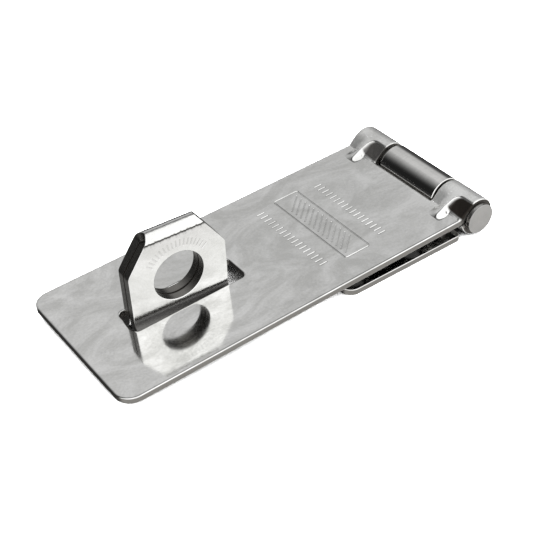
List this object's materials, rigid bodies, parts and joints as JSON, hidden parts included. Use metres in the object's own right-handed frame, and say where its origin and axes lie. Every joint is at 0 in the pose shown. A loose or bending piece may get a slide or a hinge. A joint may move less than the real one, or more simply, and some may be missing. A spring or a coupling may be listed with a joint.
{
  "type": "hasp and staple",
  "caption": "Plated steel hasp: a slotted flap hinged on a screw-down leaf, closed over a folded steel staple with a round shackle hole.",
  "frame": {"origin": "middle of the hasp's box, on the surface that it is screwed to", "axes": "+X along the flap from its free end towards the hinge, +Y across the plates away from the pin's head, +Z out of the mounting surface"},
  "size_m": [0.115, 0.0492, 0.028],
  "materials": {
    "leaf_plating": "bright zinc plate over smooth sheet steel",
    "flap_plating": "polished zinc plate, mirror bright with faint clouding",
    "pin_steel": "satin plated steel",
    "staple_plating": "bright zinc plate over hardened strip, finely speckled"
  },
  "bodies": {
    "leaf_and_staple": {"fixed_leaf": "leaf_plating", "staple": "staple_plating"},
    "flap_and_pin": {"flap": "flap_plating", "hinge_pin": "pin_steel"}
  },
  "joints": [
    {"name": "flap_hinge", "type": "hinge", "parent": "leaf_and_staple", "child": "flap_and_pin", "pos_m": [0.05217, 0.0003, 0.00533], "axis": [0, 1, 0], "range_deg": [0, 182]}
  ]
}
